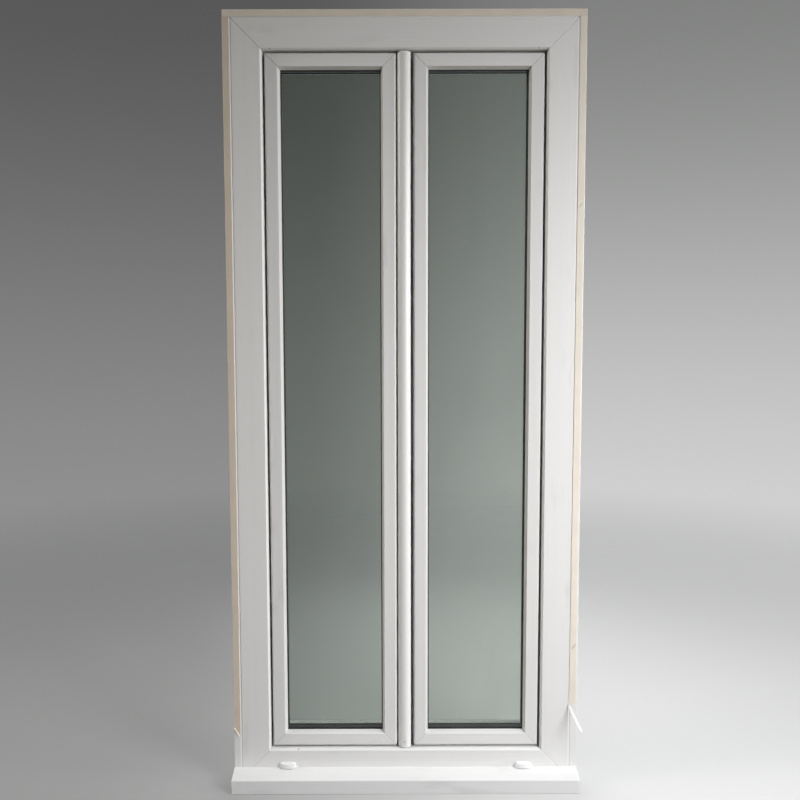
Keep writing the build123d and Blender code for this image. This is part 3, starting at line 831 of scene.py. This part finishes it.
class PVCWINDOW_OT_tape(bpy.types.Operator):
    """Lay the paper tape on the frame's margin, with its loose ends"""

    bl_idname = "pvc_window.tape"
    bl_label = "Tape"
    bl_options = {"REGISTER", "UNDO"}

    def execute(self, context):
        finish = context.scene.window_finish
        detail = context.scene.window_detail
        knots = [Smudge(0.3570, 1.222, 0.0022, 0.0060, 0.5), Smudge(0.3560, 0.302, 0.0020, 0.0080, 0.6)]
        liner = backing_paper("tape_liner", finish.liner)
        for node, light_and_age in (("head_tape", 0.97), ("left_tape", 0.84), ("right_tape", 1.02)):
            # Each strip's factor is partly painted light and shade: the left strip is darker as painted shade
            # and the right one lighter as painted light. A factor under 1 makes the paper darker and more
            # yellow
            colour = [part * light_and_age ** (1 + channel / 3) for channel, part in enumerate(finish.tape)]
            paper = paper_tape(f"{node}_paper", colour, finish.soil, knots)
            piece = add_piece(f"{node}_strip", self.strip(node, detail), paper)
            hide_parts(node)
        add_piece("right_tape_liner", self.tail(detail), liner)
        curl = backing_paper("tape_curl", toned(finish.tape, 1.08))
        add_piece("left_tape_liner", self.flap(detail), curl)
        return {"FINISHED"}

    def strip(self, node, detail):
        """A strip stuck to the frame's face, its edges a little uneven."""
        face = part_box("frame_head")[0].y
        side_low, side_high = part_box("left_tape")
        width = side_high.x - side_low.x
        low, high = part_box(node)
        level = node == "head_tape"
        start, end = (low.x, high.x) if level else (low.z, high.z)
        middle = (side_low.x + side_high.x) / 2
        if node == "right_tape":
            start, middle = detail.tape_peel, -middle
        steps = math.ceil((end - start) / detail.tape_step)
        wander_scale, wander_row = 40.0, 2.0
        swell_scale, swell_row = 65.0, 7.0
        strip_offset = low.x * 10.0
        stations = []
        for step in range(steps + 1):
            run = start + (end - start) * step / steps
            wander = noise.noise(Vector((run * wander_scale, strip_offset, wander_row))) * detail.tape_ripple
            swell = noise.noise(Vector((run * swell_scale, strip_offset, swell_row))) * detail.tape_ripple
            if level:
                centre, across = Vector((run, face, (low.z + high.z) / 2 + wander)), Vector((0, 0, 1))
            else:
                lean = detail.tape_lean * (end - run) / (end - start) if node == "right_tape" else 0.0
                centre, across = Vector((middle + wander - lean, face, run)), Vector((1, 0, 0))
            stations.append((centre, across, OUTSIDE, width + swell - detail.tape_ripple))
        if node == "left_tape":
            stations = self.slanted(stations, detail.tape_slant)
        return ribbon(stations, TAPE_THICKNESS)

    def slanted(self, stations, slant):
        """The same strip, its lower end cut on a slope that rises to the outer edge."""
        centre, across, outward, width = stations[0]
        kept = [station for station in stations if station[0].z > centre.z + slant]
        lean = across * width - Vector((0, 0, slant))
        end = (centre + Vector((0, 0, slant / 2)), lean.normalized(), outward, lean.length)
        return [end] + kept

    def tail(self, detail):
        """Backing paper that hangs off the right strip, twisting towards its tip."""
        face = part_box("head_tape")[0].y
        tail_x, overlap, full_width = 0.3466, 0.0012, 0.0060
        start = Vector((tail_x, face, detail.tape_peel + overlap))
        reach = Vector((0.0195, -0.043, -0.0410))
        middle_sag = Vector((-0.0018, 0.0060, 0.0030))
        first_turn, untwist = math.radians(38), math.radians(14)
        lean_forward, tilt_down = 0.75, 0.28
        root_share, widening = 0.45, 2.2
        stations = []
        steps = 24
        for step in range(steps + 1):
            share = step / steps
            centre = start + reach * share + middle_sag * (4 * share * (1 - share))
            turn = first_turn - untwist * share
            across = Vector((math.cos(turn), -math.sin(turn) * lean_forward, -tilt_down)).normalized()
            width = full_width * min(1.0, root_share + widening * share)
            stations.append((centre, across, across.cross(reach).normalized(), width))
        return ribbon(stations, detail.liner_thickness)

    def flap(self, detail):
        """Backing paper curled away from the slanted end of the left strip."""
        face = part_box("head_tape")[0].y
        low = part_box("left_tape")[0]
        outer_inset, inner_inset, drop = 0.0012, 0.0128, 0.0004
        high_end = Vector((low.x + outer_inset, face, low.z + detail.tape_slant))
        low_end = Vector((low.x + inner_inset, face, low.z - drop))
        along = (low_end - high_end).normalized()
        downhill = Vector((along.z, 0, -along.x))
        if downhill.z > 0:
            downhill = -downhill
        radius, full_bend, taper = 0.0020, math.radians(80), 0.06
        stations = []
        steps = 10
        for step in range(steps + 1):
            bend = full_bend * step / steps
            curl = downhill * (math.sin(bend) * radius) + OUTSIDE * ((1 - math.cos(bend)) * radius)
            outward = (OUTSIDE * math.cos(bend) - downhill * math.sin(bend)).normalized()
            centre = (high_end + low_end) / 2 + curl
            width = (low_end - high_end).length * (1 - taper * step / steps)
            stations.append((centre, along, outward, width))
        return ribbon(stations, detail.liner_thickness, columns=6)


class PVCWINDOW_OT_handle(bpy.types.Operator):
    """Finish the handle on the room side"""

    bl_idname = "pvc_window.handle"
    bl_label = "Handle"
    bl_options = {"REGISTER", "UNDO"}

    def execute(self, context):
        finish = context.scene.window_finish
        dress(powder_coat("handle_coating", finish.coating, finish.soil), "handle_rose", "handle_lever")
        return {"FINISHED"}


class PVCWINDOW_OT_hinges(bpy.types.Operator):
    """Finish the hinges and add their screws"""

    bl_idname = "pvc_window.hinges"
    bl_label = "Hinges"
    bl_options = {"REGISTER", "UNDO"}

    def execute(self, context):
        finish = context.scene.window_finish
        detail = context.scene.window_detail
        coating = powder_coat("hinge_coating", finish.coating, finish.soil)
        steel = plated_steel("screw_steel", finish.steel)
        for leaf, outward in (("left", -1), ("right", 1)):
            dress(coating, f"{leaf}_hinges")
            add_piece(f"{leaf}_hinge_screws", self.screws(leaf, outward, detail), steel)
        return {"FINISHED"}

    def screws(self, leaf, outward, detail):
        """Cross-recessed pan heads, two in each half of each hinge."""
        low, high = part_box(f"{leaf}_hinges")
        axis_x = (low.x + high.x) / 2
        from_axis = (high.x - low.x) * 0.32
        hinge_height, plate_thickness = 0.080, 0.003
        frame_plate, leaf_plate = low.y + plate_thickness, high.y
        places = (
            (0.12, outward, frame_plate),
            (0.36, outward, frame_plate),
            (0.64, -outward, leaf_plate),
            (0.88, -outward, leaf_plate),
        )
        radius = detail.screw_head / 2
        rise = detail.screw_rise
        rings = (
            (1.0, -0.1), (1.0, 0.35), (0.93, 0.62), (0.78, 0.82), (0.55, 0.95),
            (0.42, 0.98), (0.30, 1.0), (0.18, 1.0), (0.08, 1.0),
        )
        profile = [(radius * share, rise * height) for share, height in rings]
        slot_width, slot_reach, slot_depth = 0.14, 0.6, 0.55

        def cross(point):
            """Depth of the cross slot at a point of the head."""
            reach = math.hypot(point.x, point.y) / radius
            slot = min(abs(point.x), abs(point.y)) < radius * slot_width
            return rise * slot_depth * (slot and reach < slot_reach) * (point.z > 0)

        mesh = bmesh.new()
        for foot in (low.z, high.z - hinge_height):
            for share, side, face in places:
                place = Vector((axis_x + side * from_axis, face, foot + hinge_height * share))
                turned(profile, detail.round_steps, place, ROOM_SIDE, mesh, cross)
        return mesh


class PVCWINDOW_PT_sidebar(bpy.types.Panel):
    """Steps and settings of the window"""

    bl_idname = "PVCWINDOW_PT_sidebar"
    bl_label = "PVC Window"
    bl_space_type = "VIEW_3D"
    bl_region_type = "UI"
    bl_category = "Window"

    def draw(self, context):
        for operator in OPERATORS:
            self.layout.operator(operator.bl_idname)
        for settings in ("window_finish", "window_detail", "window_stage"):
            group = getattr(context.scene, settings)
            box = self.layout.box()
            for name in group.bl_rna.properties.keys():
                if name not in ("rna_type", "name"):
                    box.prop(group, name)


OPERATORS = (
    PVCWINDOW_OT_stage,
    PVCWINDOW_OT_outer_frame,
    PVCWINDOW_OT_sashes,
    PVCWINDOW_OT_astragal,
    PVCWINDOW_OT_sill,
    PVCWINDOW_OT_glazing,
    PVCWINDOW_OT_tape,
    PVCWINDOW_OT_handle,
    PVCWINDOW_OT_hinges,
)
CLASSES = (WindowFinish, WindowDetail, WindowStage, *OPERATORS, PVCWINDOW_PT_sidebar)


def register():
    for item in CLASSES:
        bpy.utils.register_class(item)
    bpy.types.Scene.window_finish = PointerProperty(type=WindowFinish)
    bpy.types.Scene.window_detail = PointerProperty(type=WindowDetail)
    bpy.types.Scene.window_stage = PointerProperty(type=WindowStage)


def unregister():
    del bpy.types.Scene.window_stage
    del bpy.types.Scene.window_detail
    del bpy.types.Scene.window_finish
    for item in reversed(CLASSES):
        bpy.utils.unregister_class(item)


def main():
    register()
    bpy.ops.pvc_window.stage()
    bpy.ops.pvc_window.outer_frame()
    bpy.ops.pvc_window.sashes()
    bpy.ops.pvc_window.astragal()
    bpy.ops.pvc_window.sill()
    bpy.ops.pvc_window.glazing()
    bpy.ops.pvc_window.tape()
    bpy.ops.pvc_window.handle()
    bpy.ops.pvc_window.hinges()


if __name__ == "__main__":
    main()
